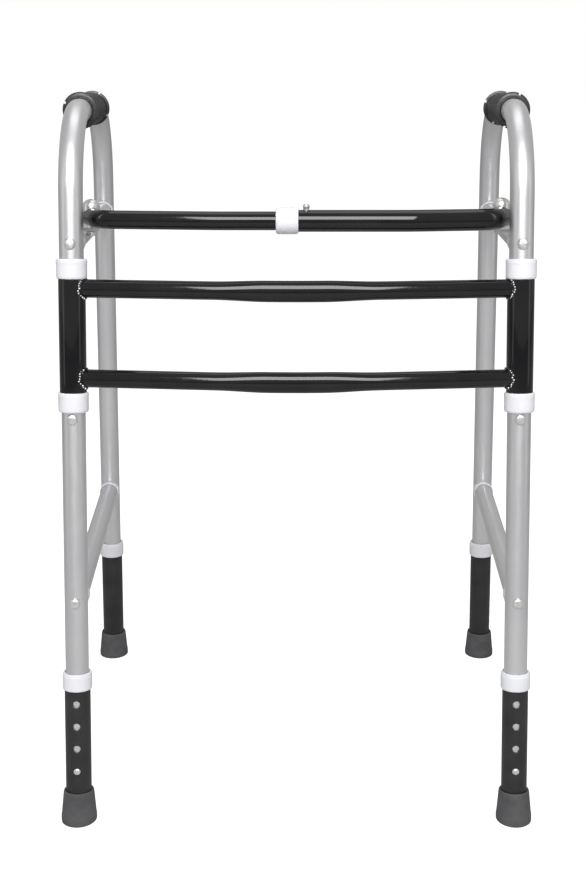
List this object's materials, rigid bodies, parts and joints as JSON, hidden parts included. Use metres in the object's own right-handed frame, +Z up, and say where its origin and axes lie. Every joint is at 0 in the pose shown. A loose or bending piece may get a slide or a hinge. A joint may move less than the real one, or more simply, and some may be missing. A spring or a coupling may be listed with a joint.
{
  "type": "walking frame",
  "caption": "Folding walking frame: two arched tube sides with hand grips, a braced front, a telescopic lock bar, and height-adjustable legs on rubber tips.",
  "frame": {"origin": "on the floor, at the middle of the part's footprint", "axes": "+Z up; +Y towards the user, who stands between the sides; +X to the right as seen from the front looking at the user"},
  "size_m": [0.5598, 0.4545, 0.7743],
  "materials": {
    "anodised_aluminium": "satin, clear anodised",
    "black_gloss_paint": "gloss black paint",
    "satin_black_coat": "satin black coating",
    "white_plastic": "white moulded plastic with a soft shine",
    "rubber": "dark grey moulded rubber",
    "grip_plastic": "dark grey ribbed moulding",
    "zinc_steel": "bright zinc or nickel plating",
    "spring_steel": "plain spring steel"
  },
  "bodies": {
    "front_frame": {"left_sleeve": "black_gloss_paint", "left_upper_bush": "white_plastic", "left_lower_bush": "white_plastic", "right_sleeve": "black_gloss_paint", "right_upper_bush": "white_plastic", "right_lower_bush": "white_plastic", "front_upper_crossbar": "black_gloss_paint", "front_lower_crossbar": "black_gloss_paint"},
    "left_side": {"left_side_tube": "anodised_aluminium", "left_upper_crossbar": "anodised_aluminium", "left_lower_crossbar": "anodised_aluminium", "left_upper_front_saddle": "white_plastic", "left_upper_rear_saddle": "white_plastic", "left_lower_front_saddle": "white_plastic", "left_lower_rear_saddle": "white_plastic", "left_grip": "grip_plastic", "left_upper_bolt": "zinc_steel", "left_lower_bolt": "zinc_steel", "left_collar_screw": "zinc_steel", "left_bar_lug": "anodised_aluminium", "left_front_spring": "spring_steel", "left_rear_spring": "spring_steel"},
    "right_side": {"right_side_tube": "anodised_aluminium", "right_upper_crossbar": "anodised_aluminium", "right_lower_crossbar": "anodised_aluminium", "right_upper_front_saddle": "white_plastic", "right_upper_rear_saddle": "white_plastic", "right_lower_front_saddle": "white_plastic", "right_lower_rear_saddle": "white_plastic", "right_grip": "grip_plastic", "right_upper_bolt": "zinc_steel", "right_lower_bolt": "zinc_steel", "right_collar_screw": "zinc_steel", "right_bar_lug": "anodised_aluminium", "right_front_spring": "spring_steel", "right_rear_spring": "spring_steel"},
    "bar_left_half": {"bar_inner": "black_gloss_paint", "left_pivot_bolt": "zinc_steel", "bar_spring": "spring_steel"},
    "bar_right_half": {"bar_outer": "black_gloss_paint", "right_pivot_bolt": "zinc_steel", "bar_collar": "white_plastic"},
    "bar_lock": {"bar_button": "zinc_steel"},
    "left_front_leg": {"left_front_extension": "satin_black_coat", "left_front_collar": "white_plastic", "left_front_tip": "rubber"},
    "left_front_snap": {"left_front_button": "zinc_steel"},
    "left_rear_leg": {"left_rear_extension": "satin_black_coat", "left_rear_collar": "white_plastic", "left_rear_tip": "rubber"},
    "left_rear_snap": {"left_rear_button": "zinc_steel"},
    "right_front_leg": {"right_front_extension": "satin_black_coat", "right_front_collar": "white_plastic", "right_front_tip": "rubber"},
    "right_front_snap": {"right_front_button": "zinc_steel"},
    "right_rear_leg": {"right_rear_extension": "satin_black_coat", "right_rear_collar": "white_plastic", "right_rear_tip": "rubber"},
    "right_rear_snap": {"right_rear_button": "zinc_steel"}
  },
  "joints": [
    {"name": "left_fold", "type": "hinge", "parent": "front_frame", "child": "left_side", "pos_m": [-0.2408, -0.20767, 0], "axis": [-0.016, -0.1125, -0.9935], "range_deg": [0, 90]},
    {"name": "right_fold", "type": "hinge", "parent": "front_frame", "child": "right_side", "pos_m": [0.2408, -0.20767, 0], "axis": [-0.016, 0.1125, 0.9935], "range_deg": [0, 41.4]},
    {"name": "bar_pivot", "type": "hinge", "parent": "left_side", "child": "bar_left_half", "pos_m": [-0.215, -0.09967, 0.6487], "axis": [0.016, 0.1125, 0.9935], "range_deg": [0, 94.5]},
    {"name": "bar_slide", "type": "slide", "parent": "bar_left_half", "child": "bar_right_half", "axis": [-1, 0, 0], "range_m": [0, 0.0425], "deforming": ["bar_button"]},
    {"name": "bar_lock_press", "type": "slide", "parent": "bar_left_half", "child": "bar_lock", "axis": [0, 0, -1], "range_m": [0, 0.0076], "stiffness_N_per_m": 600, "springref_m": -0.003, "deforming": ["bar_spring"]},
    {"name": "left_front_height", "type": "slide", "parent": "left_side", "child": "left_front_leg", "axis": [-0.016, -0.1125, -0.9935], "range_m": [0, 0.0762], "deforming": ["left_front_button"]},
    {"name": "left_front_snap_press", "type": "slide", "parent": "left_side", "child": "left_front_snap", "axis": [-0.0494, 0.9925, -0.1116], "range_m": [0, 0.004], "stiffness_N_per_m": 1200, "springref_m": -0.002, "deforming": ["left_front_spring"]},
    {"name": "right_front_height", "type": "slide", "parent": "right_side", "child": "right_front_leg", "axis": [0.016, -0.1125, -0.9935], "range_m": [0, 0.0762], "deforming": ["right_front_button"]},
    {"name": "right_front_snap_press", "type": "slide", "parent": "right_side", "child": "right_front_snap", "axis": [0.0494, 0.9925, -0.1116], "range_m": [0, 0.004], "stiffness_N_per_m": 1200, "springref_m": -0.002, "deforming": ["right_front_spring"]},
    {"name": "left_rear_height", "type": "slide", "parent": "left_side", "child": "left_rear_leg", "axis": [-0.0222, 0.0157, -0.9996], "range_m": [0, 0.0762], "deforming": ["left_rear_button"]},
    {"name": "left_rear_snap_press", "type": "slide", "parent": "left_side", "child": "left_rear_snap", "axis": [0.0469, -0.9988, -0.0168], "range_m": [0, 0.004], "stiffness_N_per_m": 1200, "springref_m": -0.002, "deforming": ["left_rear_spring"]},
    {"name": "right_rear_height", "type": "slide", "parent": "right_side", "child": "right_rear_leg", "axis": [0.0222, 0.0157, -0.9996], "range_m": [0, 0.0762], "deforming": ["right_rear_button"]},
    {"name": "right_rear_snap_press", "type": "slide", "parent": "right_side", "child": "right_rear_snap", "axis": [-0.0469, -0.9988, -0.0168], "range_m": [0, 0.004], "stiffness_N_per_m": 1200, "springref_m": -0.002, "deforming": ["right_rear_spring"]}
  ],
  "couplings": [
    {"joint": "right_fold", "follows": "left_fold", "ratio": 0.46},
    {"joint": "bar_pivot", "follows": "left_fold", "ratio": 1.05},
    {"joint": "bar_slide", "follows": "left_fold", "m_per_rad": 0.027}
  ]
}
